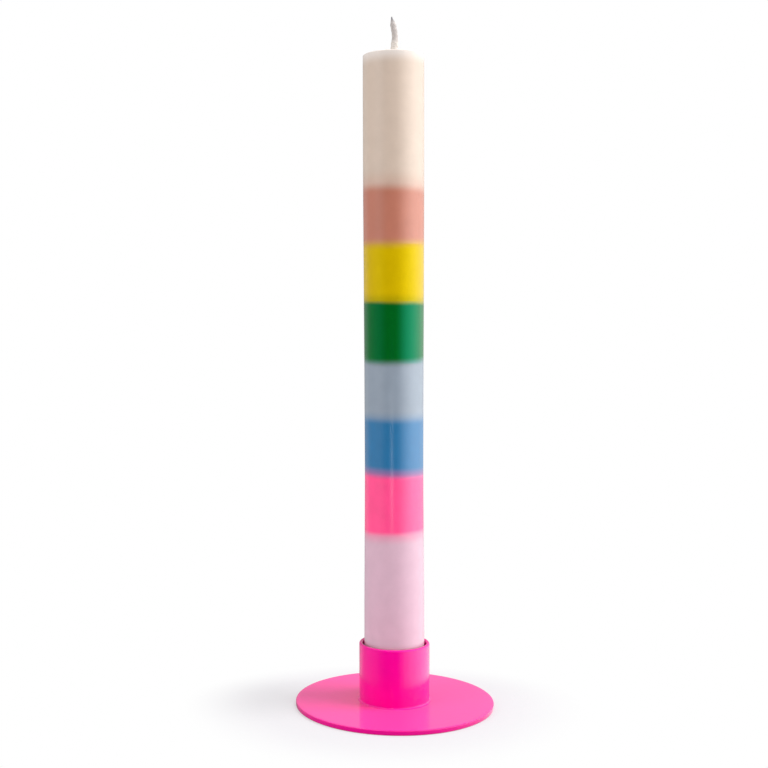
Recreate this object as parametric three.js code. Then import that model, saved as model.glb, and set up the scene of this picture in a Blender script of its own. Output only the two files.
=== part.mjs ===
// A striped stick candle standing in a small coated candle plate.
// Sizes are in millimetres. Z points up, and the origin is the middle of the plate's underside.
// The candle is eight blocks of through-coloured wax, poured one on the other round one wick.
// The holder is a round steel plate and a drawn steel cup, held together by one rivet.

import * as THREE from 'three';

// Candle plate
const plateRadius = 36.6;
const plateThickness = 1.8;
const plateEdgeRound = 0.4;

// Socket cup, a drawn cup that stands on the plate
const cupHeight = 21.5;
const cupWall = 1.3;
const cupFloor = 1.2;
const cupInsideCorner = 0.5;
const cupRootFillet = 0.7;
const socketClearance = 0.6;

// Rivet, with a countersunk head at each end
const rivetShankRadius = 2;
const rivetHeadRadius = 3.3;
const rivetHeadDepth = 0.8;
const rivetPlay = 0.05;
const rivetRecess = 0.1;

// Wax body. The stick is a little slimmer at its waist than at its foot and its top.
const footRadius = 11.1;
const waistRadius = 10.8;
const topRadius = 11.2;
const footCylinder = 27;
const waistHeight = 85;
const topCylinder = 28;
const footChamfer = 0.8;
const shoulderRound = 0.5;

// Wax blocks. The lilac block at the foot takes what the others leave of the length.
const candleLength = 236;
const ivoryHeight = 48.5;
const salmonHeight = 20.5;
const yellowHeight = 20.6;
const greenHeight = 22.5;
const greyBlueHeight = 20.1;
const blueHeight = 20.4;
const hotPinkHeight = 21.6;

// Wick, an oval braid that runs through all the blocks and stands free at the top
const wickHalfWidth = 1.1;
const wickHalfDepth = 0.9;
const wickPlay = 0.15;
const wickFootInset = 0.3;
const wickFreeLength = 13.9;
const wickTipLength = 2.6;
const wickTipRadius = 0.22;
const meniscusRadius = 2.6;
const meniscusHeight = 0.5;

// The wick's bend over its free length: height above the wax, then sideways lean
const wickBend = [
  [0.6, 0.05],
  [2.2, 0.55],
  [4.6, 0.78],
  [7.4, 0.42],
  [10.4, -0.4],
];
const wickTipLean = -0.66;

// How finely the round forms are divided
const plateSides = 72;
const candleSides = 48;
const rivetSides = 24;
const wickSides = 12;
const wickSteps = 22;
const arcSteps = 3;
const wallStep = 11;

// Places that several pieces share
const holeRadius = rivetShankRadius + rivetPlay;
const sinkRadius = rivetHeadRadius + rivetPlay;
const plateTop = plateThickness;
const socketFloor = plateTop + cupFloor;
const cupTop = plateTop + cupHeight;
const socketRadius = footRadius + socketClearance;
const cupRadius = socketRadius + cupWall;
const wickBore = wickHalfWidth + wickPlay;
const candleFoot = socketFloor;
const candleTop = candleFoot + candleLength;
const upperHeights = ivoryHeight + salmonHeight + yellowHeight + greenHeight;
const lowerHeights = greyBlueHeight + blueHeight + hotPinkHeight;
const lilacHeight = candleLength - upperHeights - lowerHeights;

// Wax blocks from the top down, each with its height and colour
const waxBlocks = [
  { name: 'ivory_wax', height: ivoryHeight, colour: 0xead9c8 },
  { name: 'salmon_wax', height: salmonHeight, colour: 0xd98f7d },
  { name: 'yellow_wax', height: yellowHeight, colour: 0xe6c60a },
  { name: 'green_wax', height: greenHeight, colour: 0x0e7a4a },
  { name: 'grey_blue_wax', height: greyBlueHeight, colour: 0xa5b1bd },
  { name: 'blue_wax', height: blueHeight, colour: 0x4b8cbf },
  { name: 'hot_pink_wax', height: hotPinkHeight, colour: 0xff6ca5 },
  { name: 'lilac_wax', height: lilacHeight, colour: 0xe2bccb },
];

// A body turned about Z. The path holds radius as x and height as y.
function turned(path, sides) {
  const geometry = new THREE.LatheGeometry(path.getPoints(arcSteps), sides);
  geometry.rotateX(Math.PI / 2);
  return geometry;
}

// A closed tube through rings of points, with a flat cap at each end.
function lofted(rings) {
  const sides = rings[0].length;
  const middles = [rings[0], rings[rings.length - 1]].map((ring) =>
    ring.reduce((sum, point) => sum.add(point), new THREE.Vector3()).divideScalar(sides),
  );
  const points = [...rings.flat(), ...middles];
  const footMiddle = points.length - 2;
  const tipMiddle = points.length - 1;
  const tipRing = sides * (rings.length - 1);
  const index = [];
  for (let side = 0; side < sides; side += 1) {
    const next = (side + 1) % sides;
    for (let low = 0; low < tipRing; low += sides) {
      index.push(low + side, low + next, low + sides + next);
      index.push(low + side, low + sides + next, low + sides + side);
    }
    index.push(footMiddle, next, side);
    index.push(tipMiddle, tipRing + side, tipRing + next);
  }
  const geometry = new THREE.BufferGeometry().setFromPoints(points);
  geometry.setIndex(index);
  geometry.computeVertexNormals();
  return geometry;
}

function piece(name, geometry, colour, roughness, metalness = 0) {
  const material = new THREE.MeshStandardMaterial({ color: colour, roughness, metalness });
  const mesh = new THREE.Mesh(geometry, material);
  mesh.name = name;
  return mesh;
}

// Steel disc with a rounded edge. Its hole is countersunk from below for the rivet.
function candlePlate() {
  const low = plateEdgeRound;
  const high = plateTop - plateEdgeRound;
  const edge = plateRadius - plateEdgeRound;
  const path = new THREE.Path();
  path.moveTo(sinkRadius, 0);
  path.lineTo(edge, 0);
  path.absarc(edge, low, plateEdgeRound, -Math.PI / 2, 0, false);
  path.absarc(edge, high, plateEdgeRound, 0, Math.PI / 2, false);
  path.lineTo(holeRadius, plateTop);
  path.lineTo(holeRadius, rivetHeadDepth);
  path.closePath();
  return turned(path, plateSides);
}

// Drawn cup with a full round rim. A small fillet of coating closes its root on the plate.
function socketCup() {
  const rim = cupWall / 2;
  const rimLine = cupTop - rim;
  const filletLine = cupRadius + cupRootFillet;
  const cornerLine = socketRadius - cupInsideCorner;
  const cornerTop = socketFloor + cupInsideCorner;
  const path = new THREE.Path();
  path.moveTo(holeRadius, plateTop);
  path.lineTo(filletLine, plateTop);
  path.absarc(filletLine, plateTop + cupRootFillet, cupRootFillet, -Math.PI / 2, -Math.PI, true);
  path.lineTo(cupRadius, rimLine);
  path.absarc(socketRadius + rim, rimLine, rim, 0, Math.PI, false);
  path.lineTo(socketRadius, cornerTop);
  path.absarc(cornerLine, cornerTop, cupInsideCorner, 0, -Math.PI / 2, true);
  path.lineTo(sinkRadius, socketFloor);
  path.lineTo(holeRadius, socketFloor - rivetHeadDepth);
  path.closePath();
  return turned(path, candleSides);
}

// Rivet with its heads sunk flush in the cup's floor and in the plate's underside.
function cupRivet() {
  const low = rivetRecess;
  const high = socketFloor - rivetRecess;
  const path = new THREE.Path();
  path.moveTo(0, low);
  path.lineTo(sunkRadius(rivetRecess), low);
  path.lineTo(rivetShankRadius, rivetHeadDepth);
  path.lineTo(rivetShankRadius, socketFloor - rivetHeadDepth);
  path.lineTo(sunkRadius(rivetRecess), high);
  path.lineTo(0, high);
  return turned(path, rivetSides);
}

// Radius of the rivet's cone at a depth below the face that it is sunk in
function sunkRadius(depth) {
  return THREE.MathUtils.mapLinear(depth, 0, rivetHeadDepth, rivetHeadRadius, rivetShankRadius);
}

// Radius of the stick at a height above its foot
function stickRadius(height) {
  const { smoothstep } = THREE.MathUtils;
  const footSwell = 1 - smoothstep(height, footCylinder, waistHeight);
  const topSwell = smoothstep(height, waistHeight, candleLength - topCylinder);
  const foot = (footRadius - waistRadius) * footSwell;
  const top = (topRadius - waistRadius) * topSwell;
  return waistRadius + foot + top;
}

// One poured block between two heights above the candle's foot, bored for the wick
function waxBlock(low, high) {
  const isFoot = low === 0;
  const isTop = high === candleLength;
  const path = new THREE.Path();
  path.moveTo(wickBore, candleFoot + low);
  if (isFoot) {
    path.lineTo(footRadius - footChamfer, candleFoot);
    path.lineTo(stickRadius(footChamfer), candleFoot + footChamfer);
  } else {
    path.lineTo(stickRadius(low), candleFoot + low);
  }
  const steps = Math.ceil((high - low) / wallStep);
  for (let step = 1; step < steps; step += 1) {
    const height = THREE.MathUtils.lerp(low, high, step / steps);
    path.lineTo(stickRadius(height), candleFoot + height);
  }
  if (isTop) {
    const shoulder = topRadius - shoulderRound;
    path.absarc(shoulder, candleTop - shoulderRound, shoulderRound, 0, Math.PI / 2, false);
    path.lineTo(meniscusRadius, candleTop);
    path.quadraticCurveTo(wickBore, candleTop, wickBore, candleTop + meniscusHeight);
  } else {
    path.lineTo(stickRadius(high), candleFoot + high);
    path.lineTo(wickBore, candleFoot + high);
  }
  path.closePath();
  return turned(path, candleSides);
}

// The wick's centre line, straight through the wax and then leaning as it stands free
function wickCurve() {
  const bend = wickBend.map(([rise, lean]) => new THREE.Vector3(lean, 0, candleTop + rise));
  return new THREE.CatmullRomCurve3([
    new THREE.Vector3(0, 0, candleTop - 2 * wickHalfWidth),
    new THREE.Vector3(0, 0, candleTop - wickHalfWidth),
    ...bend,
    new THREE.Vector3(wickTipLean, 0, candleTop + wickFreeLength),
  ]);
}

// One oval section of the wick, square to its centre line
function wickRing(centre, along, scale) {
  const across = new THREE.Vector3(0, 1, 0);
  const side = new THREE.Vector3().crossVectors(across, along).normalize();
  return Array.from({ length: wickSides }, (_, step) => {
    const angle = (2 * Math.PI * step) / wickSides;
    return centre
      .clone()
      .addScaledVector(side, scale * wickHalfWidth * Math.cos(angle))
      .addScaledVector(across, scale * wickHalfDepth * Math.sin(angle));
  });
}

// Braided wick, drawn in to a blunt point at its tip
function wick() {
  const curve = wickCurve();
  const length = curve.getLength();
  const up = new THREE.Vector3(0, 0, 1);
  const foot = new THREE.Vector3(0, 0, candleFoot + wickFootInset);
  const rings = [wickRing(foot, up, 1)];
  for (let step = 0; step <= wickSteps; step += 1) {
    const share = step / wickSteps;
    const toTip = (1 - share) * length;
    const tipShare = Math.min(1, toTip / wickTipLength);
    const narrowest = wickTipRadius / wickHalfWidth;
    const scale = narrowest + (1 - narrowest) * Math.sin((tipShare * Math.PI) / 2);
    rings.push(wickRing(curve.getPointAt(share), curve.getTangentAt(share), scale));
  }
  return lofted(rings);
}

const coatColour = 0xff2f9e;
const steelColour = 0xb8b8ba;
const wickColour = 0xc9c3bf;

const holder = new THREE.Group();
holder.add(piece('candle_plate', candlePlate(), coatColour, 0.3));
holder.add(piece('socket_cup', socketCup(), coatColour, 0.3));
holder.add(piece('cup_rivet', cupRivet(), steelColour, 0.35, 1));

const candle = new THREE.Group();
candle.add(piece('wick', wick(), wickColour, 0.9));
let blockTop = candleLength;
waxBlocks.forEach(({ name, height, colour }) => {
  const blockFoot = name === 'lilac_wax' ? 0 : blockTop - height;
  candle.add(piece(name, waxBlock(blockFoot, blockTop), colour, 0.45));
  blockTop = blockFoot;
});

const model = new THREE.Group();
model.add(holder, candle);

export default model;
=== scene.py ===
"""Striped stick candle in a hot pink candle plate, dressed for a studio picture.

The candle is eight blocks of through-coloured wax, poured one on the other round one plaited
cotton wick. It stands in a drawn steel cup, which a rivet holds on a round steel plate.
Lengths in this file are in millimetres until a mesh, a lamp or a material takes them.
"""

import logging
import math
from collections.abc import Sequence
from dataclasses import dataclass, field
from enum import Enum
from typing import Any

import bpy
import numpy as np
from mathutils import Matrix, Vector


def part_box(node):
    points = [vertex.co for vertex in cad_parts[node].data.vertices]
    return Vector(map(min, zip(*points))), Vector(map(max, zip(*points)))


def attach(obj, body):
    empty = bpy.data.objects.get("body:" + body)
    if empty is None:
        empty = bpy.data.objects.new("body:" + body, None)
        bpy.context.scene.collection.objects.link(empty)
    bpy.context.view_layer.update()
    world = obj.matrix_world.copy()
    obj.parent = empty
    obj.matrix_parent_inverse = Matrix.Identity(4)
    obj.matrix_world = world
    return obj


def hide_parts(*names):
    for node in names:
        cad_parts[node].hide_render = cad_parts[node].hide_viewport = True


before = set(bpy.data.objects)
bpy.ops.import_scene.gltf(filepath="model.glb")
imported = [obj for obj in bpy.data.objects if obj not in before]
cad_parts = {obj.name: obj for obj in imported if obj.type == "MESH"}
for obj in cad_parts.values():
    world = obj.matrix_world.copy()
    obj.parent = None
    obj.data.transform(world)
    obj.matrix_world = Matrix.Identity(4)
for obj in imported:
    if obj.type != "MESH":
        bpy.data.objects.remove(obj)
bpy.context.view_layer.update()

LOG = logging.getLogger("candle")
MM = 0.001
FULL_TURN = 2.0 * math.pi

Pair = tuple[float, float]
Colour = tuple[float, float, float, float]
Material = bpy.types.Material
Tree = bpy.types.NodeTree
Node = bpy.types.Node
Socket = bpy.types.NodeSocket


class Body(Enum):
    """The two bodies that the frame holds."""

    HOLDER = "holder"
    CANDLE = "candle"


class Lights(Enum):
    """What a panel lights."""

    MATT = "matt surfaces alone"
    MIRROR = "mirror images alone"


class Ends(Enum):
    """How a turned profile ends."""

    LOOP = "the profile closes on itself, round a bore"
    AXIS = "the profile starts and ends on the axis"


def linear(code: str) -> Colour:
    """Turn an sRGB hex colour into a linear one.

    Args:
        code: Six hex digits, such as "ff69b4".

    Returns:
        Red, green, blue and an alpha of one.
    """
    shares = [int(code[start : start + 2], 16) / 255.0 for start in (0, 2, 4)]
    values = [s / 12.92 if s <= 0.04045 else ((s + 0.055) / 1.055) ** 2.4 for s in shares]
    return (values[0], values[1], values[2], 1.0)


def ease(value: np.ndarray, low: float, high: float) -> np.ndarray:
    """Rise smoothly from 0 at low to 1 at high, as 3t^2 - 2t^3.

    Args:
        value: Where to read the curve.
        low: Where the rise starts.
        high: Where the rise ends.

    Returns:
        The height of the curve at each value.
    """
    share = np.clip((value - low) / (high - low), 0.0, 1.0)
    return share * share * (3.0 - 2.0 * share)


def line(start: Pair, end: Pair, steps: int = 1) -> np.ndarray:
    """Points on a straight stretch of a profile, without its last point.

    Args:
        start: Radius and height of the first point.
        end: Radius and height that the stretch runs to.
        steps: How many equal steps it takes.

    Returns:
        One row of radius and height per point.
    """
    share = np.arange(steps)[:, None] / steps
    return np.array(start) * (1.0 - share) + np.array(end) * share


def arc(centre: Pair, radius: float, start: float, end: float, steps: int) -> np.ndarray:
    """Points on a round stretch of a profile, with both its ends.

    Args:
        centre: Radius and height of the arc's centre.
        radius: The arc's radius.
        start: Angle of the first point, in degrees from the outward direction.
        end: Angle of the last point, in degrees.
        steps: How many equal steps it takes.

    Returns:
        One row of radius and height per point.
    """
    angle = np.radians(np.linspace(start, end, steps + 1))
    return np.array(centre) + radius * np.stack([np.cos(angle), np.sin(angle)], axis=1)


def quads_between(rows: int, sides: int, close_rows: bool) -> np.ndarray:
    """Faces of a grid of points whose rows are closed rings.

    Corner k of the face at row i and side j is one step further along a row, a ring or both.

    Args:
        rows: Number of rings.
        sides: Number of points on a ring.
        close_rows: Whether the last ring meets the first.

    Returns:
        Four point numbers per face.
    """
    low = np.arange(rows if close_rows else rows - 1)[:, None]
    side = np.arange(sides)[None, :]
    high = (low + 1) % rows
    after = (side + 1) % sides
    corners = (low * sides + side, low * sides + after, high * sides + after, high * sides + side)
    grids = [np.broadcast_to(corner, (len(low), sides)) for corner in corners]
    return np.stack(grids, axis=-1).reshape(-1, 4)


def fan(ring_start: int, sides: int, pole: int, pole_first: bool) -> np.ndarray:
    """Triangles from one ring to a pole.

    Args:
        ring_start: Number of the ring's first point.
        sides: Number of points on the ring.
        pole: Number of the pole's point.
        pole_first: Whether the pole lies before the ring, which turns the faces round.

    Returns:
        Three point numbers per face.
    """
    side = np.arange(sides)
    here = ring_start + side
    after = ring_start + (side + 1) % sides
    first, second = (after, here) if pole_first else (here, after)
    return np.stack([first, second, np.full(sides, pole)], axis=1)


def new_mesh(name: str, points: np.ndarray, faces: list[np.ndarray], sharp: float = 40.0) -> Any:
    """Make a smooth-shaded object from points in millimetres.

    Args:
        name: The piece's name.
        points: One row of x, y and z per point.
        faces: Arrays of point numbers, one array per number of corners.
        sharp: Angle in degrees over which an edge stays crisp.

    Returns:
        The object, linked to the scene.
    """
    mesh = bpy.data.meshes.new(name)
    mesh.from_pydata((points * MM).tolist(), [], [row for part in faces for row in part.tolist()])
    mesh.validate()
    mesh.shade_smooth()
    mesh.set_sharp_from_angle(angle=math.radians(sharp))
    piece = bpy.data.objects.new(name, mesh)
    bpy.context.scene.collection.objects.link(piece)
    return piece


def turn(name: str, profile: np.ndarray, sides: int, ends: Ends, uneven: Any = None) -> Any:
    """Turn a profile about Z: x = r cos a, y = r sin a, z = h, with uneven(a, r, h) added to r.

    Args:
        name: The piece's name.
        profile: Rows of radius and height, in the order that keeps the solid on the left.
        sides: Number of points round the axis.
        ends: Whether the profile closes on itself or ends on the axis.
        uneven: None, or a function of angle, radius and height that gives the change of radius.

    Returns:
        The turned object.
    """
    rings = profile if ends is Ends.LOOP else profile[1:-1]
    angle = np.arange(sides)[None, :] * FULL_TURN / sides
    radius = np.repeat(rings[:, :1], sides, axis=1)
    height = np.repeat(rings[:, 1:], sides, axis=1)
    if uneven is not None:
        radius = radius + uneven(angle, radius, height)
    grid = np.stack([radius * np.cos(angle), radius * np.sin(angle), height], axis=-1)
    points = grid.reshape(-1, 3)
    faces = [quads_between(len(rings), sides, ends is Ends.LOOP)]
    if ends is Ends.AXIS:
        poles = np.array([[0.0, 0.0, profile[0, 1]], [0.0, 0.0, profile[-1, 1]]])
        last = len(points)
        faces.append(fan(0, sides, last, True))
        faces.append(fan(last - sides, sides, last + 1, False))
        points = np.concatenate([points, poles])
    return new_mesh(name, points, faces)


def add_node(
    tree: Tree,
    kind: str,
    inputs: dict[Any, Any] | None = None,
    stops: Sequence[tuple[float, Colour]] = (),
    **settings: Any,
) -> Node:
    """Add one node with its settings, values and links.

    Args:
        tree: The tree that takes the node.
        kind: The node's type, without the ShaderNode that each begins with.
        inputs: Socket name or number, to a value or to the output that feeds it.
        stops: Places and colours on a colour ramp, instead of the two that it starts with.
        **settings: Properties of the node itself.

    Returns:
        The new node.
    """
    node = tree.nodes.new(f"ShaderNode{kind}")
    for name, value in settings.items():
        setattr(node, name, value)
    for key, value in (inputs or {}).items():
        if isinstance(value, Socket):
            tree.links.new(value, node.inputs[key])
        else:
            node.inputs[key].default_value = value
    if stops:
        elements = node.color_ramp.elements
        for place, colour in stops:
            elements.new(place).color = colour
        elements.remove(elements[-1])
        elements.remove(elements[0])
    return node


def new_material(name: str) -> tuple[Material, Tree, Socket]:
    """Start a material with an empty tree and its surface socket.

    Args:
        name: The material's name.

    Returns:
        The material, its tree and the output's surface socket.
    """
    material = bpy.data.materials.new(name)
    material.use_nodes = True
    tree = material.node_tree
    tree.nodes.clear()
    output = add_node(tree, "OutputMaterial")
    return material, tree, output.inputs["Surface"]


@dataclass(frozen=True)
class Grain:
    """A soft relief of a real spacing and depth, read from Object coordinates."""

    spacing: float
    depth: float
    detail: float = 2.0

    def normal(self, tree: Tree, under: Socket | None = None) -> Socket:
        """Add the relief to a tree.

        Args:
            tree: The material's tree.
            under: The normal that this relief lies on, or None.

        Returns:
            The socket that gives the bumped normal.
        """
        place = add_node(tree, "TexCoord").outputs["Object"]
        noise = add_node(
            tree,
            "TexNoise",
            {"Vector": place, "Scale": 1.0 / (self.spacing * MM), "Detail": self.detail},
        )
        inputs: dict[Any, Any] = {
            "Height": noise.outputs["Fac"], "Distance": self.depth * MM, "Strength": 1.0
        }
        if under is not None:
            inputs["Normal"] = under
        return add_node(tree, "Bump", inputs).outputs["Normal"]


@dataclass(frozen=True)
class Mottle:
    """Faint clouds of tone of a real spacing, between a darkest and a palest share of a colour."""

    spacing: float
    detail: float
    darkest: float
    palest: float = 1.0
    noise_span: Pair = (0.3, 0.7)

    def tone(self, tree: Tree, place: Socket, colour: Any) -> Socket:
        """Scale a colour by the clouds.

        Args:
            tree: The material's tree.
            place: Place on the piece, in metres.
            colour: Red, green and blue, or the socket that gives the colour.

        Returns:
            The clouded colour.
        """
        noise = add_node(
            tree,
            "TexNoise",
            {"Vector": place, "Scale": 1.0 / (self.spacing * MM), "Detail": self.detail},
        )
        tone = add_node(
            tree,
            "MapRange",
            {
                "Value": noise.outputs["Fac"],
                "From Min": self.noise_span[0],
                "From Max": self.noise_span[1],
                "To Min": self.darkest,
                "To Max": self.palest,
            },
        )
        inputs = {0: colour, "Scale": tone.outputs["Result"]}
        clouded = add_node(tree, "VectorMath", inputs, operation="SCALE")
        return clouded.outputs["Vector"]


@dataclass(frozen=True)
class MeltAndGlow:
    """How two dyes run into each other where one block was poured on the other, and the painted
    glow past that.

    The line between them lies settle below the seam and is soft over spread to each side. A share
    of the lower colour also reaches as far as climb into the upper block, or of the upper colour,
    where climb is negative, into the lower one: this tail is painted light, the glow of the
    neighbouring dye through the translucent wax. Slope is how fast the line falls towards +X and
    towards -Y.
    """

    spread: float
    climb: float = 0.0
    share: float = 0.0
    settle: float = 0.0
    slope: Pair = (0.0, 0.0)


@dataclass(frozen=True)
class Seam:
    """The melted line between two poured blocks, which wanders up and down a little, with its
    painted glow.
    """

    height: float
    lower: str
    upper: str
    melt: MeltAndGlow
    wander: float = 0.3
    far_spread: float = 0.6

    def melted(self, tree: Tree, place: Socket, wave: Socket, lower: Any, upper: Any) -> Socket:
        """Mix the two dyes, from all of the lower one to all of the upper one, with the painted
        glow of one reaching into the other's block.

        Args:
            tree: The material's tree.
            place: Place on the candle, in metres.
            wave: Noise from 0 to 1 that moves the line up and down.
            lower: The lower dye's colour, or the socket that gives it.
            upper: The upper dye's colour, or the socket that gives it.

        Returns:
            The mixed colour.
        """
        fall_x, fall_front = self.melt.slope
        sloped = add_node(
            tree, "VectorMath", {0: place, 1: (fall_x, -fall_front, 1.0)}, operation="DOT_PRODUCT"
        ).outputs["Value"]
        height = add_node(
            tree, "Math", {0: wave, 1: -self.wander * MM, 2: sloped}, operation="MULTIPLY_ADD"
        ).outputs[0]
        middle = self.height - 0.5 * self.wander
        settled = middle - self.melt.settle
        low, high = sorted((middle, middle + self.melt.climb))
        edges = (
            (settled - self.melt.spread, settled + self.melt.spread),
            (low - self.far_spread, high + self.far_spread),
        )
        near, far = [
            add_node(
                tree,
                "MapRange",
                {"Value": height, "From Min": start * MM, "From Max": end * MM},
                interpolation_type="SMOOTHERSTEP",
            ).outputs["Result"]
            for start, end in edges
        ]
        # Painted light: far is the long tail that stands in for the neighbouring dye's glow
        # through the wax; near is the melted line.
        share = add_node(tree, "Mix", {"Factor": self.melt.share, 2: near, 3: far})
        inputs = {"Factor": share.outputs[0], 6: lower, 7: upper}
        return add_node(tree, "Mix", inputs, data_type="RGBA").outputs[2]


@dataclass(frozen=True)
class PaintedLightEnd:
    """The end of a stick with painted light: paler towards the top, for the light that comes in
    from above through the wax, and more matt than the sides.
    """

    top: float
    depth: float = 5.0
    # Colour of the painted light at the very end.
    colour: str = "ddd4cc"
    gloss_share: float = 0.25

    def pale(self, tree: Tree, place: Socket, colour: Any, gloss: float) -> tuple[Socket, Socket]:
        """Paint light on a colour by paling it, and dull its gloss, over the last stretch to the
        end.

        Args:
            tree: The material's tree.
            place: Place on the candle, in metres.
            colour: The socket that gives the colour.
            gloss: The gloss of the sides.

        Returns:
            The colour and the gloss.
        """
        height = add_node(tree, "SeparateXYZ", {0: place}).outputs["Z"]
        start = (self.top - self.depth) * MM
        share = add_node(
            tree,
            "MapRange",
            {"Value": height, "From Min": start, "From Max": self.top * MM},
            interpolation_type="SMOOTHSTEP",
        ).outputs["Result"]
        inputs = {"Factor": share, 6: colour, 7: linear(self.colour)}
        paler = add_node(tree, "Mix", inputs, data_type="RGBA")
        duller = add_node(
            tree, "MapRange", {"Value": share, "To Min": gloss, "To Max": gloss * self.gloss_share}
        )
        return paler.outputs[2], duller.outputs["Result"]


@dataclass(frozen=True)
class DyedWax:
    """Paraffin wax, dyed through and poured: satin gloss, slow ripples and faintly clouded dye."""

    name: str
    colour: str
    below: Seam | None
    above: Seam | None
    gloss_tint: str = "ffffff"
    painted_light_end: PaintedLightEnd | None = None
    roughness: float = 0.26
    refraction: float = 1.55
    gloss: float = 0.5
    wave_spacing: float = 9.0
    mottle: Mottle = Mottle(5.0, 4.0, 0.97, 1.03)
    ripple: Grain = Grain(6.0, 0.03, 1.0)
    pores: Grain = Grain(0.5, 0.004)

    def make(self) -> Material:
        """Build the wax with the dye of its neighbours running in at its seams, their painted glow
        past that, and painted light at a lit end.

        Returns:
            The material.
        """
        material, tree, surface = new_material(self.name)
        place = add_node(tree, "TexCoord").outputs["Object"]
        wave = add_node(
            tree,
            "TexNoise",
            {"Vector": place, "Scale": 1.0 / (self.wave_spacing * MM), "Detail": 1.0},
        ).outputs["Fac"]
        colour = add_node(tree, "RGB").outputs[0]
        colour.default_value = linear(self.colour)
        if self.below is not None:
            colour = self.below.melted(tree, place, wave, linear(self.below.lower), colour)
        if self.above is not None:
            colour = self.above.melted(tree, place, wave, colour, linear(self.above.upper))
        gloss: Any = self.gloss
        # Painted light: the top block pales towards its end.
        if self.painted_light_end is not None:
            colour, gloss = self.painted_light_end.pale(tree, place, colour, self.gloss)
        shader = add_node(
            tree,
            "BsdfPrincipled",
            {
                "Base Color": self.mottle.tone(tree, place, colour),
                "Roughness": self.roughness,
                "IOR": self.refraction,
                "Specular IOR Level": gloss,
                "Specular Tint": linear(self.gloss_tint),
                "Normal": self.pores.normal(tree, self.ripple.normal(tree)),
            },
        )
        tree.links.new(shader.outputs[0], surface)
        return material


@dataclass(frozen=True)
class PaintedShadeEdge:
    """Painted shade on the rim of a sheet: a deeper tone towards the edge, which faces the dim
    front of the studio.
    """

    start: float = 36.2
    end: float = 36.5
    # Colour of the painted shade at the very rim.
    colour: str = "de0084"

    def tint(self, tree: Tree, place: Socket, colour: Colour) -> Socket:
        """Paint shade on a colour towards the rim, by the distance from the axis.

        Args:
            tree: The material's tree.
            place: Place on the sheet, in metres.
            colour: The colour away from the rim.

        Returns:
            The colour with its painted shade at the rim.
        """
        level = add_node(
            tree, "VectorMath", {0: place, 1: (1.0, 1.0, 0.0)}, operation="MULTIPLY"
        ).outputs["Vector"]
        radius = add_node(tree, "VectorMath", {0: level}, operation="LENGTH")
        share = add_node(
            tree,
            "MapRange",
            {
                "Value": radius.outputs["Value"],
                "From Min": self.start * MM,
                "From Max": self.end * MM,
            },
        )
        inputs = {"Factor": share.outputs["Result"], 6: colour, 7: linear(self.colour)}
        return add_node(tree, "Mix", inputs, data_type="RGBA").outputs[2]


@dataclass(frozen=True)
class PowderCoat:
    """Pink powder coat, baked on steel: hard gloss over fine orange peel, hazed on the plate, with
    painted shade at the plate's rim.
    """

    name: str
    colour: str = "f80096"
    gloss_tint: str = "ffd0cc"
    roughness: float = 0.1
    haze: float = 0.0
    haze_roughness: float = 0.5
    # Painted shade at the rim of a sheet, if any.
    edge: PaintedShadeEdge | None = None
    mottle: Mottle = Mottle(4.0, 3.0, 0.97)
    peel: Grain = Grain(1.1, 0.004, 1.0)

    def make(self) -> Material:
        """Build the coat.

        Returns:
            The material.
        """
        material, tree, surface = new_material(self.name)
        place = add_node(tree, "TexCoord").outputs["Object"]
        plain = linear(self.colour)
        colour = self.edge.tint(tree, place, plain) if self.edge else plain[:3]
        shader = add_node(
            tree,
            "BsdfPrincipled",
            {
                "Base Color": self.mottle.tone(tree, place, colour),
                "Roughness": self.roughness,
                "Specular Tint": linear(self.gloss_tint),
                "Sheen Weight": self.haze,
                "Sheen Roughness": self.haze_roughness,
                "Normal": self.peel.normal(tree),
            },
        )
        tree.links.new(shader.outputs[0], surface)
        return material


@dataclass(frozen=True)
class SetSteel:
    """Mild steel rivet, set cold: dull grey with fine rings from the setting tool."""

    name: str = "set_rivet_steel"
    colour: str = "b4b3b1"
    roughness: float = 0.38
    ring_scale: float = 4.0
    ring_depth: float = 0.01
    grit: Grain = Grain(0.15, 0.003)

    def make(self) -> Material:
        """Build the steel. The rings lie 2 pi / 20 of ring_scale apart, 1.3 mm.

        Returns:
            The material.
        """
        material, tree, surface = new_material(self.name)
        place = add_node(tree, "TexCoord").outputs["Object"]
        scale = 1.0 / (self.ring_scale * MM)
        rings = add_node(
            tree,
            "TexWave",
            {"Vector": place, "Scale": scale, "Distortion": 1.5, "Detail": 2.0},
            wave_type="RINGS",
            rings_direction="Z",
        ).outputs["Fac"]
        relief = {"Height": rings, "Distance": self.ring_depth * MM}
        bump = add_node(tree, "Bump", relief).outputs["Normal"]
        shader = add_node(
            tree,
            "BsdfPrincipled",
            {
                "Base Color": linear(self.colour),
                "Metallic": 1.0,
                "Roughness": self.roughness,
                "Normal": self.grit.normal(tree, bump),
            },
        )
        tree.links.new(shader.outputs[0], surface)
        return material


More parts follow.
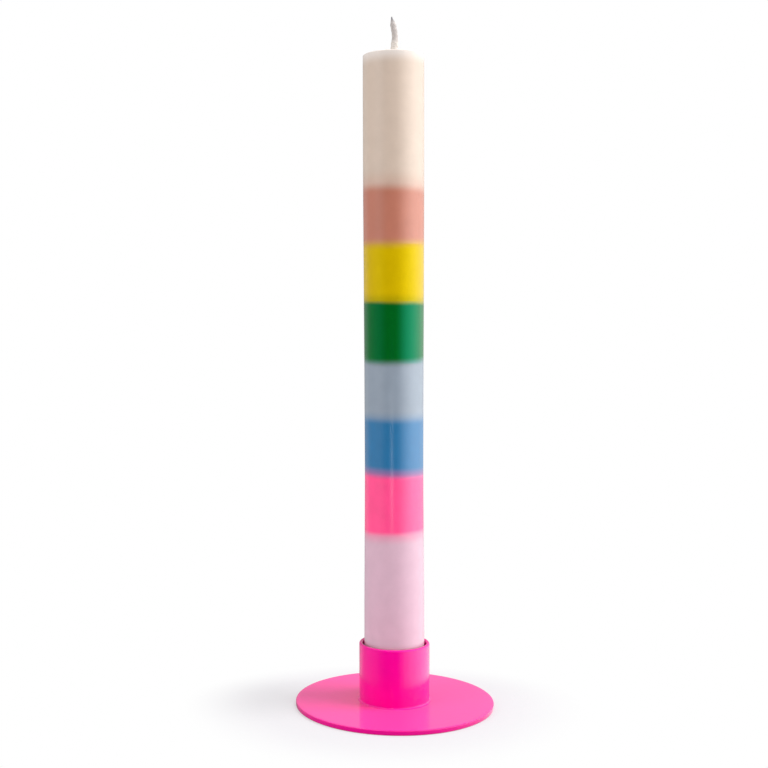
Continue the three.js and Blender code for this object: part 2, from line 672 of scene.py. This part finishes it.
@dataclass(frozen=True)
class WickCotton:
    """Plaited cotton, primed with wax: pale where the wax holds it, grey at the cut tip."""

    name: str
    wax_line: float
    tip: float
    primed: str = "cfc8c1"
    grey: str = "b2aba7"
    cut: str = "747175"
    tone_places: tuple[float, ...] = (0.0, 0.3, 0.42, 0.85, 0.95)

    def make(self) -> Material:
        """Build the cotton with its change of tone along the free end.

        Returns:
            The material.
        """
        material, tree, surface = new_material(self.name)
        place = add_node(tree, "TexCoord").outputs["Object"]
        height = add_node(tree, "SeparateXYZ", {0: place}).outputs["Z"]
        along = add_node(
            tree,
            "MapRange",
            {"Value": height, "From Min": self.wax_line * MM, "From Max": self.tip * MM},
        ).outputs["Result"]
        tones = (self.primed, self.primed, self.grey, self.grey, self.cut)
        stops = [(share, linear(tone)) for share, tone in zip(self.tone_places, tones)]
        ramp = add_node(tree, "ValToRGB", {"Fac": along}, stops)
        shader = add_node(
            tree,
            "BsdfPrincipled",
            {
                "Base Color": ramp.outputs["Color"],
                "Roughness": 0.75,
                "Sheen Weight": 0.25,
                "Sheen Roughness": 0.5,
            },
        )
        tree.links.new(shader.outputs[0], surface)
        return material


def dress(piece: Any, material: Material, body: Body, node: str) -> None:
    """Give a finished piece its material and body, hide its node, and report it.

    Args:
        piece: The finished object.
        material: What it is made of.
        body: The body that carries it.
        node: The solid that it stands for.
    """
    piece.data.materials.append(material)
    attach(piece, body.value)
    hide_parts(node)
    LOG.info("%s: %d faces, %s", piece.name, len(piece.data.polygons), material.name)


def size_of(node: str) -> tuple[np.ndarray, np.ndarray]:
    """Lowest and highest corner of a solid, in millimetres.

    Args:
        node: The solid's name.

    Returns:
        The two corners.
    """
    low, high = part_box(node)
    return np.array(low) / MM, np.array(high) / MM


@dataclass
class CandlePlate:
    """The round steel plate."""

    edge_round: float = 0.4
    sink_radius: float = 3.35
    hole_radius: float = 2.05
    sink_depth: float = 0.8
    sides: int = 256
    body: Body = Body.HOLDER

    def build(self) -> Any:
        """Turn the plate: flat underside, rounded edge, flat top and a sunk hole.

        Returns:
            The plate.
        """
        low, high = size_of("candle_plate")
        radius, top = high[0], high[2]
        edge = radius - self.edge_round
        profile = np.concatenate(
            [
                line((self.sink_radius, low[2]), (edge, low[2]), 24),
                arc((edge, low[2] + self.edge_round), self.edge_round, -90, 0, 8),
                arc((edge, top - self.edge_round), self.edge_round, 0, 90, 8),
                line((edge, top), (self.hole_radius, top), 24)[1:],
                line((self.hole_radius, top), (self.hole_radius, self.sink_depth), 2),
                line((self.hole_radius, self.sink_depth), (self.sink_radius, low[2]), 2),
            ]
        )
        return turn("plate", profile, self.sides, Ends.LOOP)

    def dress(self, coat: Material) -> None:
        """Build the plate and coat it.

        Args:
            coat: The powder coat.
        """
        dress(self.build(), coat, self.body, "candle_plate")


@dataclass
class SocketCup:
    """The drawn cup that holds the candle's foot."""

    wall: float = 1.3
    floor: float = 1.2
    inside_corner: float = 0.5
    root_fillet: float = 0.7
    sink_radius: float = 3.35
    hole_radius: float = 2.05
    sink_depth: float = 0.8
    wave_depth: float = 0.06
    wave_top: float = 1.54
    wave_span: Pair = (7.35, 11.35)
    waves: tuple[tuple[int, float, float], ...] = ((2, 1.0, 0.7), (5, 0.7, 2.1), (9, 0.5, 0.0))
    sides: int = 192
    body: Body = Body.HOLDER

    def root_wave(self, angle: np.ndarray, radius: np.ndarray, height: np.ndarray) -> np.ndarray:
        """Draw the fillet in by a few hundredths, as slow waves that fade above it.

        A wave of (turns, size, start) is size * sin(turns * angle + start). The waves grow
        outwards over wave_span and end wave_top above the plate.

        Args:
            angle: Angle round the cup.
            radius: Radius before the change.
            height: Height of each point.

        Returns:
            The change of radius.
        """
        low = size_of("socket_cup")[0][2]
        near_root = 1.0 - ease(height, low, low + self.wave_top)
        outside = ease(radius, *self.wave_span)
        wave = sum(size * np.sin(turns * angle + start) for turns, size, start in self.waves)
        sizes = sum(size for _, size, _ in self.waves)
        return -self.wave_depth * near_root * outside * (1.0 + wave / sizes)

    def build(self) -> Any:
        """Turn the cup: coated root, straight wall, full round rim, socket and floor.

        Returns:
            The cup.
        """
        low, high = size_of("socket_cup")
        outer = high[0] - self.root_fillet
        inner = outer - self.wall
        base, top = low[2], high[2]
        rim = 0.5 * self.wall
        floor = base + self.floor
        corner = (inner - self.inside_corner, floor + self.inside_corner)
        sink = (self.sink_radius, floor)
        neck = (self.hole_radius, floor - self.sink_depth)
        root = (outer + self.root_fillet, base + self.root_fillet)
        profile = np.concatenate(
            [
                line((self.hole_radius, base), (root[0], base), 12),
                arc(root, self.root_fillet, -90, -180, 8),
                line((outer, root[1]), (outer, top - rim), 40)[1:],
                arc((inner + rim, top - rim), rim, 0, 180, 14),
                line((inner, top - rim), (inner, corner[1]), 20)[1:],
                arc(corner, self.inside_corner, 0, -90, 6),
                line((corner[0], floor), sink, 8)[1:],
                line(sink, neck, 2),
                line(neck, (self.hole_radius, base), 2),
            ]
        )
        return turn("socket", profile, self.sides, Ends.LOOP, self.root_wave)

    def dress(self, coat: Material) -> None:
        """Build the cup and coat it.

        Args:
            coat: The powder coat.
        """
        dress(self.build(), coat, self.body, "socket_cup")


@dataclass
class CupRivet:
    """The rivet that holds the cup on the plate, sunk flush at both ends."""

    shank_radius: float = 2.0
    head_depth: float = 0.8
    dimple_radius: float = 1.3
    dimple_depth: float = 0.25
    sides: int = 96
    body: Body = Body.HOLDER

    def build(self) -> Any:
        """Turn the rivet, with the setting tool's dimple in its lower head.

        Returns:
            The rivet.
        """
        low, high = size_of("cup_rivet")
        head = high[0]
        dimple = np.linspace(0.0, 1.0, 9)
        bowl = low[2] + self.dimple_depth * (1.0 - dimple**2) ** 2
        neck_low = low[2] + self.head_depth
        neck_high = high[2] - self.head_depth
        profile = np.concatenate(
            [
                np.stack([self.dimple_radius * dimple, bowl], axis=1),
                line((self.dimple_radius, low[2]), (head, low[2]), 4)[1:],
                line((head, low[2]), (self.shank_radius, neck_low), 3),
                line((self.shank_radius, neck_low), (self.shank_radius, neck_high), 4),
                line((self.shank_radius, neck_high), (head, high[2]), 3),
                line((head, high[2]), (0.0, high[2]), 6),
                np.array([[0.0, high[2]]]),
            ]
        )
        return turn("rivet", profile, self.sides, Ends.AXIS)

    def dress(self, steel: Material) -> None:
        """Build the rivet and give it its steel.

        Args:
            steel: The rivet's steel.
        """
        dress(self.build(), steel, self.body, "cup_rivet")


@dataclass(frozen=True)
class Pour:
    """One poured block: its node, its dye and how its upper seam melted, with its painted glow."""

    node: str
    dye: str
    melt: MeltAndGlow
    gloss_tint: str = "ffffff"


@dataclass
class WaxStick:
    """The eight poured blocks, from the foot up."""

    foot_radius: float = 11.1
    waist_radius: float = 10.8
    top_radius: float = 11.2
    foot_cylinder: float = 27.0
    waist_height: float = 85.0
    top_cylinder: float = 28.0
    foot_chamfer: float = 0.8
    shoulder_round: float = 0.5
    bore_radius: float = 1.25
    meniscus_radius: float = 2.6
    meniscus_height: float = 0.5
    face_radius: float = 8.0
    hand_depth: float = 0.02
    hand_span: Pair = (7.0, 10.0)
    row_height: float = 0.6
    sides: int = 144
    body: Body = Body.CANDLE
    # Node, dye, how its upper seam melted and how far its painted glow reaches, and the tint of
    # its gloss.
    pours: tuple[Pour, ...] = (
        Pour("lilac_wax", "ceabba", MeltAndGlow(1.5, -4.0, 0.33, -0.3, (-0.04, 0.0)), "cccccc"),
        Pour("hot_pink_wax", "fb4688", MeltAndGlow(1.6, 3.0, 0.28, 0.64, (0.033, 0.0))),
        Pour("blue_wax", "1d6c9c", MeltAndGlow(2.0, 3.0, 0.3, 0.5, (0.01, 0.0))),
        Pour("grey_blue_wax", "8894a0", MeltAndGlow(2.3, 0.0, 0.0, -1.15, (-0.03, 0.1))),
        Pour("green_wax", "015a0c", MeltAndGlow(1.25, 3.2, 0.3, 0.6, (0.03, 0.0)), "44f8e8"),
        Pour("yellow_wax", "c6a601", MeltAndGlow(2.6, 3.0, 0.3, -0.14, (-0.02, 0.04)), "ffff38"),
        Pour("salmon_wax", "b4705b", MeltAndGlow(2.5, 7.0, 0.3, 0.35, (0.04, 0.0))),
        Pour("ivory_wax", "c8b5a4", MeltAndGlow(0.0)),
    )
    foot: float = field(init=False)
    top: float = field(init=False)
    length: float = field(init=False)

    def __post_init__(self) -> None:
        """Take the stick's foot and top from the solids."""
        self.foot = float(size_of(self.pours[0].node)[0][2])
        self.top = float(size_of("ivory_wax")[1][2]) - self.meniscus_height
        self.length = self.top - self.foot

    def radius_at(self, height: np.ndarray) -> np.ndarray:
        """Radius of the stick: its waist, plus a swell that eases in to the foot and to the top.

        Args:
            height: Height above the table.

        Returns:
            The radius at each height.
        """
        above = height - self.foot
        foot = 1.0 - ease(above, self.foot_cylinder, self.waist_height)
        top = ease(above, self.waist_height, self.length - self.top_cylinder)
        swell = (self.foot_radius - self.waist_radius) * foot
        return self.waist_radius + swell + (self.top_radius - self.waist_radius) * top

    def hand(self, angle: np.ndarray, radius: np.ndarray, height: np.ndarray) -> np.ndarray:
        """Take a few hundredths off the wall, as slow waves round and along the stick.

        The four waves' sizes add up to 3.1, so the change lies between 0 and 2 hand_depth. It
        grows outwards over hand_span.

        Args:
            angle: Angle round the stick.
            radius: Radius before the change.
            height: Height of each point.

        Returns:
            The change of radius.
        """
        sizes = 1.0 + 0.6 + 1.0 + 0.5
        turn_wave = np.sin(2 * angle + height / 31.0) + 0.6 * np.sin(3 * angle - height / 17.0)
        long_wave = np.sin(height / 6.3 + 1.5 * np.sin(angle)) + 0.5 * np.sin(height / 2.9 - angle)
        depth = self.hand_depth * ease(radius, *self.hand_span)
        return -depth * (sizes + turn_wave + long_wave) / sizes

    def block(self, pour: Pour) -> Any:
        """Turn one block between its two seams.

        Args:
            pour: The block.

        Returns:
            The block's object.
        """
        low, high = size_of(pour.node)
        is_foot = pour is self.pours[0]
        is_top = pour is self.pours[-1]
        start = low[2] + (self.foot_chamfer if is_foot else 0.0)
        end = self.top - self.shoulder_round if is_top else high[2]
        rows = max(2, round((end - start) / self.row_height))
        wall_height = np.linspace(start, end, rows + 1)
        wall = np.stack([self.radius_at(wall_height), wall_height], axis=1)
        face = (self.face_radius, low[2])
        stretches = [line((self.bore_radius, low[2]), face, 4)]
        if is_foot:
            chamfer = (self.foot_radius - self.foot_chamfer, low[2])
            stretches.append(line(face, chamfer, 2))
            stretches.append(line(chamfer, tuple(wall[0]), 2))
        else:
            stretches.append(line(face, tuple(wall[0]), 4))
        stretches.append(wall)
        if is_top:
            stretches.append(self.crown(high[2]))
            bore_top = high[2]
        else:
            stretches.append(line(tuple(wall[-1]), (self.bore_radius, end), 8)[1:])
            bore_top = end
        stretches.append(line((self.bore_radius, bore_top), (self.bore_radius, low[2]), 12))
        name = pour.node.replace("_wax", "_block")
        return turn(name, np.concatenate(stretches), self.sides, Ends.LOOP, self.hand)

    def crown(self, wick_line: float) -> np.ndarray:
        """The top block's end: rounded shoulder, flat face and the wax drawn up the wick.

        The climb is h = rise (1 - t)^3, with t from the wick to the edge of the meniscus.

        Args:
            wick_line: Height of the wax at the wick.

        Returns:
            The profile from the shoulder to the wick.
        """
        shoulder = self.top_radius - self.shoulder_round
        centre = (shoulder, self.top - self.shoulder_round)
        share = np.linspace(1.0, 0.0, 10)
        climb_radius = self.bore_radius + (self.meniscus_radius - self.bore_radius) * share
        climb = self.top + (wick_line - self.top) * (1.0 - share) ** 3
        face = line((shoulder, self.top), (self.meniscus_radius, self.top), 14)[1:]
        rise = np.stack([climb_radius, climb], axis=1)[:-1]
        return np.concatenate([arc(centre, self.shoulder_round, 0, 90, 10)[1:], face, rise])

    def dress(self) -> None:
        """Build every block and dye it, with its neighbours' dye and painted glow at its seams,
        and painted light at the top end.
        """
        seams = [
            Seam(float(size_of(low.node)[1][2]), low.dye, high.dye, low.melt)
            for low, high in zip(self.pours, self.pours[1:])
        ]
        for below, pour, above in zip([None, *seams], self.pours, [*seams, None]):
            painted_light_end = PaintedLightEnd(self.top) if above is None else None
            wax = DyedWax(f"poured_{pour.node}", pour.dye, below, above, pour.gloss_tint, painted_light_end)
            dress(self.block(pour), wax.make(), self.body, pour.node)


@dataclass
class PlaitedWick:
    """A flat plait of three cotton strands, soaked in wax, which bends where it stands free."""

    half_width: float = 1.1
    half_depth: float = 0.9
    strand_radius: float = 0.72
    wax_fill: float = 0.2
    pitch: float = 5.2
    hidden_step: float = 0.9
    free_step: float = 0.1
    tip_length: float = 3.3
    tip_scale: float = 0.2
    tip_power: float = 1.8
    tip_inset: float = 0.05
    free_from: float = -3.0
    skin_rise: float = 0.1
    root_swell: float = 0.25
    root_grows: Pair = (0.6, 2.4)
    root_fades: Pair = (4.2, 6.4)
    sides: int = 64
    body: Body = Body.CANDLE
    # Height above the wax, and how far to the right the centre line stands there.
    bend: tuple[Pair, ...] = (
        (-1.5, 0.0), (0.6, 0.0), (2.2, 0.3), (4.6, 0.52), (7.4, 0.52), (10.4, 0.04), (13.4, -0.58),
    )

    def lean(self, rise: np.ndarray) -> tuple[np.ndarray, np.ndarray]:
        """Sideways lean of the centre line, as a cubic Hermite curve through the bend's points.

        Each point's slope is that of the line between its two neighbours.

        Args:
            rise: Height above the wax.

        Returns:
            The lean, and its slope along the height.
        """
        knots = np.array(self.bend)
        slope = np.gradient(knots[:, 1], knots[:, 0])
        slope[0] = 0.0
        place = np.clip(np.searchsorted(knots[:, 0], rise) - 1, 0, len(knots) - 2)
        span = knots[place + 1, 0] - knots[place, 0]
        t = np.clip((rise - knots[place, 0]) / span, 0.0, 1.0)
        a, b = knots[place, 1], knots[place + 1, 1]
        p, q = slope[place] * span, slope[place + 1] * span
        lean = (
            (2 * t**3 - 3 * t**2 + 1) * a
            + (t**3 - 2 * t**2 + t) * p
            + (3 * t**2 - 2 * t**3) * b
            + (t**3 - t**2) * q
        )
        rate = (
            (6 * t**2 - 6 * t) * (a - b) + (3 * t**2 - 4 * t + 1) * p + (3 * t**2 - 2 * t) * q
        ) / span
        return lean, np.where(rise < knots[0, 0], 0.0, rate)

    def rings(self, height: np.ndarray, wax_top: float, tip: float) -> np.ndarray:
        """Rings of the wick's waxed skin.

        A strand's centre swings as sin p across and sin 2p in depth, with p one turn per pitch
        and a third of a turn between strands. A strand reaches as far in a direction as its
        centre does, and its radius further. The skin lies at the smooth maximum of the three
        reaches, so wax fills the creases: wax_fill times the logarithm of the sum of
        exp(reach / wax_fill), which stands skin_rise of wax_fill over the furthest strand. Wax
        swells the root over root_grows until root_fades, and all of it draws in to the tip as a
        power of a sine.

        Args:
            height: Height of each ring on the wick's centre line.
            wax_top: Height of the wax.
            tip: Height of the wick's tip.

        Returns:
            An array of rings by points by x, y and z.
        """
        lean, slope = self.lean(height - wax_top)
        along = np.stack([slope, np.zeros_like(slope), np.ones_like(slope)], axis=1)
        along /= np.linalg.norm(along, axis=1, keepdims=True)
        across = np.array([0.0, 1.0, 0.0])
        side = np.cross(across, along)
        angle = np.arange(self.sides) * FULL_TURN / self.sides
        phase = FULL_TURN * (height[:, None, None] / self.pitch + np.arange(3)[:, None] / 3.0)
        inside = self.strand_radius + self.skin_rise * self.wax_fill
        swing = (self.half_width - inside) * np.sin(phase)
        dip = (self.half_depth - inside) * np.sin(2.0 * phase)
        reach = swing * np.cos(angle) + dip * np.sin(angle) + self.strand_radius
        radius = self.wax_fill * np.log(np.exp(reach / self.wax_fill).sum(axis=1))
        share = np.clip((tip - height) / self.tip_length, 0.0, 1.0)
        point = np.sin(0.5 * math.pi * share) ** self.tip_power
        rise = height - wax_top
        root = ease(rise, *self.root_grows) * (1.0 - ease(rise, *self.root_fades))
        scale = (self.tip_scale + (1.0 - self.tip_scale) * point) * (1.0 + self.root_swell * root)
        radius *= scale[:, None]
        centre = np.stack([lean, np.zeros_like(lean), height], axis=1)
        ring_side = side[:, None, :] * (radius * np.cos(angle))[..., None]
        ring_across = across * (radius * np.sin(angle))[..., None]
        return centre[:, None, :] + ring_side + ring_across

    def build(self, wax_top: float) -> Any:
        """Plait the whole wick, in long steps in the wax and in short ones where it shows.

        Args:
            wax_top: Height of the wax.

        Returns:
            The wick.
        """
        low, high = size_of("wick")
        tip = high[2] - self.tip_inset
        free = wax_top + self.free_from
        hidden = np.arange(low[2], free, self.hidden_step)
        height = np.concatenate([hidden, np.arange(free, tip, self.free_step), [tip]])
        rings = self.rings(height, wax_top, tip)
        rows = len(rings)
        foot_pole = rows * self.sides
        faces = [
            quads_between(rows, self.sides, False),
            fan(0, self.sides, foot_pole, True),
            fan(foot_pole - self.sides, self.sides, foot_pole + 1, False),
        ]
        points = np.concatenate([rings.reshape(-1, 3), rings[[0, -1]].mean(axis=1)])
        return new_mesh("plaited_wick", points, faces, sharp=80.0)

    def dress(self, wax_top: float) -> None:
        """Build the wick and give it its cotton.

        Args:
            wax_top: Height of the wax.
        """
        cotton = WickCotton("waxed_wick_cotton", wax_top, float(size_of("wick")[1][2]))
        dress(self.build(wax_top), cotton.make(), self.body, "wick")


@dataclass(frozen=True)
class SoftBox:
    """A studio panel that faces the candle."""

    name: str
    azimuth: float
    elevation: float
    distance: float
    width: float
    height: float
    radiance: float
    lights: Lights
    aim: float = 110.0

    def light(self) -> None:
        """Hang the panel: azimuth in degrees from the camera's side towards +X."""
        lamp = bpy.data.lights.new(self.name, "AREA")
        lamp.shape = "RECTANGLE"
        lamp.size = self.width * MM
        lamp.size_y = self.height * MM
        lamp.energy = self.radiance * math.pi * self.width * self.height * MM * MM
        azimuth, elevation = math.radians(self.azimuth), math.radians(self.elevation)
        reach = self.distance * math.cos(elevation)
        aim = Vector((0.0, 0.0, self.aim))
        centre = aim + Vector(
            (
                reach * math.sin(azimuth),
                -reach * math.cos(azimuth),
                self.distance * math.sin(elevation),
            )
        )
        holder = bpy.data.objects.new(self.name, lamp)
        holder.location = centre * MM
        holder.rotation_euler = (centre - aim).to_track_quat("Z", "Y").to_euler()
        holder.visible_camera = False
        holder.visible_diffuse = self.lights is Lights.MATT
        holder.visible_glossy = self.lights is Lights.MIRROR
        bpy.context.scene.collection.objects.link(holder)


@dataclass(frozen=True)
class Surround:
    """Brightness round the studio and overhead.

    A stop is an azimuth, in degrees from the camera's side towards +X, and the brightness there.
    Upwards it changes to overhead, as the direction's Z passes through overhead_span.
    """

    stops: tuple[Pair, ...]
    overhead: float
    overhead_span: Pair = (0.45, 0.75)
    full_scale: float = 4.0

    def strength(self, tree: Tree, way: Socket) -> Socket:
        """Read the brightness in a direction.

        Args:
            tree: The tree that needs it.
            way: The direction, or a place seen from the origin.

        Returns:
            The brightness.
        """
        parts = add_node(tree, "SeparateXYZ", {0: way}).outputs
        back = add_node(tree, "Math", {0: parts["Y"], 1: -1.0}, operation="MULTIPLY")
        inputs = {0: parts["X"], 1: back.outputs[0]}
        azimuth = add_node(tree, "Math", inputs, operation="ARCTAN2").outputs[0]
        share = add_node(
            tree, "MapRange", {"Value": azimuth, "From Min": -math.pi, "From Max": math.pi}
        ).outputs["Result"]
        stops = [
            ((degrees + 180.0) / 360.0, (*[value / self.full_scale] * 3, 1.0))
            for degrees, value in self.stops
        ]
        ramp = add_node(tree, "ValToRGB", {"Fac": share}, stops)
        ramp.color_ramp.interpolation = "EASE"
        inputs = {0: ramp.outputs["Color"], 1: self.full_scale}
        around = add_node(tree, "Math", inputs, operation="MULTIPLY").outputs[0]
        return add_node(
            tree,
            "MapRange",
            {
                "Value": parts["Z"],
                "From Min": self.overhead_span[0],
                "From Max": self.overhead_span[1],
                "To Min": around,
                "To Max": self.overhead,
            },
            interpolation_type="SMOOTHSTEP",
        ).outputs["Result"]


@dataclass
class Studio:
    """White table and surround, the panels and the camera."""

    lens: float = 59.72
    sensor: float = 36.0
    shift: Pair = (0.1113, -0.0234)
    pitch: float = 2.284
    roll: float = 0.262
    camera_side: float = -35.0
    camera_back: float = 468.4
    camera_height: float = 144.5
    floor_size: float = 6000.0
    floor_drop: float = 0.05
    floor_tone: tuple[float, float, float] = (0.574, 0.557, 0.591)
    floor_lift: float = 0.51
    floor_clear: Pair = (43.5, 76.5)
    clear_centre: tuple[float, float, float] = (-3.8, 4.3, 0.0)
    clear_rear: float = 1.5
    floor_mirror: Pair = (40.0, 52.0)
    floor_dim: float = 0.3
    matt: Surround = Surround(
        stops=(
            (-179.0, 0.78), (-60.0, 0.86), (-35.0, 0.42), (-12.0, 0.38), (14.0, 1.25),
            (50.0, 1.2), (80.0, 0.9), (110.0, 0.78), (179.0, 0.78),
        ),
        overhead=0.75,
    )
    mirror: Surround = Surround(
        stops=(
            (-179.0, 0.5), (-150.0, 0.5), (-134.0, 0.75), (-110.0, 0.55), (-84.0, 0.6),
            (-61.0, 0.45), (-44.0, 0.15), (-29.0, 0.02), (5.0, 0.02), (18.0, 0.6), (30.0, 1.7),
            (50.0, 3.0), (71.0, 3.7), (90.0, 3.4), (104.0, 2.7), (118.0, 2.1), (133.0, 1.5),
            (151.0, 0.8), (179.0, 0.5),
        ),
        overhead=1.6,
    )
    # Azimuth, elevation, distance, width, height, radiance, what it lights, height it faces.
    panels: tuple[SoftBox, ...] = (
        SoftBox("overhead_right_panel", 80.0, 60.0, 1100.0, 420.0, 420.0, 17.0, Lights.MATT),
        SoftBox("right_bounce", 80.0, 5.0, 700.0, 700.0, 620.0, 1.8, Lights.MATT),
        SoftBox("left_bounce", -60.0, 5.0, 800.0, 500.0, 700.0, 2.6, Lights.MATT),
        SoftBox("strip_lamp", -12.5, 0.0, 300.0, 12.0, 50.0, 14.0, Lights.MIRROR, 52.0),
    )

    def camera(self) -> None:
        """Set the camera near level over mid height, to the left, with its view shifted back."""
        eye = bpy.data.cameras.new("camera")
        eye.sensor_fit = "HORIZONTAL"
        eye.sensor_width = self.sensor
        eye.lens = self.lens
        eye.shift_x, eye.shift_y = self.shift
        eye.clip_start = 0.01
        eye.clip_end = 50.0
        stand = bpy.data.objects.new("camera", eye)
        place = Vector((self.camera_side, -self.camera_back, self.camera_height))
        stand.location = place * MM
        stand.rotation_euler = (math.radians(90.0 - self.pitch), math.radians(self.roll), 0.0)
        bpy.context.scene.collection.objects.link(stand)
        bpy.context.scene.camera = stand

    def grown(self, tree: Tree, way: Socket, span: Pair, least: float, whole: Socket) -> Socket:
        """Scale a value by a share that grows smoothly with the length of a way.

        Args:
            tree: The tree that needs it.
            way: The way from the middle, in metres.
            span: Lengths at which the share starts to grow and is whole, in millimetres.
            least: The share up to the first length.
            whole: The value to scale.

        Returns:
            The scaled value.
        """
        away = add_node(tree, "VectorMath", {0: way}, operation="LENGTH")
        share = add_node(
            tree,
            "MapRange",
            {
                "Value": away.outputs["Value"],
                "From Min": span[0] * MM,
                "From Max": span[1] * MM,
                "To Min": least,
            },
            interpolation_type="SMOOTHSTEP",
        ).outputs["Result"]
        scaled = add_node(tree, "Math", {0: whole, 1: share}, operation="MULTIPLY")
        return scaled.outputs[0]

    def table(self) -> None:
        """Lay the table of matt white paper.

        It keeps the shadow, and the camera sees it lifted to plain white away from the plate.
        Mirror images show the surround in its place, dimmed near the plate.
        """
        half = 0.5 * self.floor_size
        corners = np.array([[-half, -half], [half, -half], [half, half], [-half, half]])
        points = np.column_stack([corners, np.full(4, -self.floor_drop)])
        table = new_mesh("table", points, [np.array([[0, 1, 2, 3]])])
        material, tree, surface = new_material("white_table_paper")
        paper = add_node(tree, "BsdfDiffuse", {"Color": (*self.floor_tone, 1.0)})
        rays = add_node(tree, "LightPath")
        place = add_node(tree, "TexCoord").outputs["Object"]
        off_centre = add_node(
            tree,
            "VectorMath",
            {0: place, 1: [v * MM for v in self.clear_centre]},
            operation="SUBTRACT",
        ).outputs["Vector"]
        # Behind the middle, a distance counts clear_rear times.
        rear = add_node(
            tree,
            "VectorMath",
            {0: off_centre, 1: (1.0, self.clear_rear, 1.0)},
            operation="MULTIPLY",
        ).outputs["Vector"]
        counted = add_node(
            tree, "VectorMath", {0: off_centre, 1: rear}, operation="MAXIMUM"
        ).outputs["Vector"]
        camera_ray = rays.outputs["Is Camera Ray"]
        lifted = self.grown(tree, counted, self.floor_clear, self.floor_lift, camera_ray)
        white = add_node(tree, "Emission", {"Strength": 1.0})
        plain = add_node(tree, "MixShader", {0: lifted, 1: paper.outputs[0], 2: white.outputs[0]})
        image = self.mirror.strength(tree, place)
        mirror = self.grown(tree, place, self.floor_mirror, self.floor_dim, image)
        mirrored = add_node(tree, "Emission", {"Strength": mirror})
        seen = add_node(
            tree,
            "MixShader",
            {0: rays.outputs["Is Glossy Ray"], 1: plain.outputs[0], 2: mirrored.outputs[0]},
        )
        tree.links.new(seen.outputs[0], surface)
        table.data.materials.append(material)

    def surround_world(self) -> None:
        """White to the camera, pale in gloss, and plain ambient light for the rest."""
        world = bpy.data.worlds.new("white_surround")
        bpy.context.scene.world = world
        world.use_nodes = True
        tree = world.node_tree
        tree.nodes.clear()
        rays = add_node(tree, "LightPath")
        way = add_node(tree, "TexCoord").outputs["Generated"]
        matt = self.matt.strength(tree, way)
        mirror = self.mirror.strength(tree, way)
        gloss = add_node(
            tree,
            "MapRange",
            {"Value": rays.outputs["Is Glossy Ray"], "To Min": matt, "To Max": mirror},
        ).outputs["Result"]
        strength = add_node(
            tree,
            "MapRange",
            {"Value": rays.outputs["Is Camera Ray"], "To Min": gloss, "To Max": 1.0},
        ).outputs["Result"]
        sky = add_node(tree, "Background", {"Color": (1.0, 1.0, 1.0, 1.0), "Strength": strength})
        output = add_node(tree, "OutputWorld")
        tree.links.new(sky.outputs[0], output.inputs["Surface"])

    def build(self) -> None:
        """Set up the camera, the table, the surround and the panels."""
        bpy.context.scene.view_settings.view_transform = "Standard"
        self.camera()
        self.table()
        self.surround_world()
        for panel in self.panels:
            panel.light()


def main() -> None:
    """Build the holder, the candle and the studio in order."""
    logging.basicConfig(level=logging.INFO, format="%(name)s: %(message)s")
    # The plate's coat carries painted shade at its rim.
    plate_coat = PowderCoat("pink_powder_coat_on_plate", haze=0.17, edge=PaintedShadeEdge())
    # Painted shade: the cup's coat is a darker copy of the plate's pink, so the upright cup reads
    # darker.
    shaded_cup_coat = PowderCoat("pink_powder_coat_on_cup_painted_darker", "ec0093")
    CandlePlate().dress(plate_coat.make())
    SocketCup().dress(shaded_cup_coat.make())
    CupRivet().dress(SetSteel().make())
    stick = WaxStick()
    stick.dress()
    PlaitedWick().dress(stick.top)
    Studio().build()


if __name__ == "__main__":
    main()
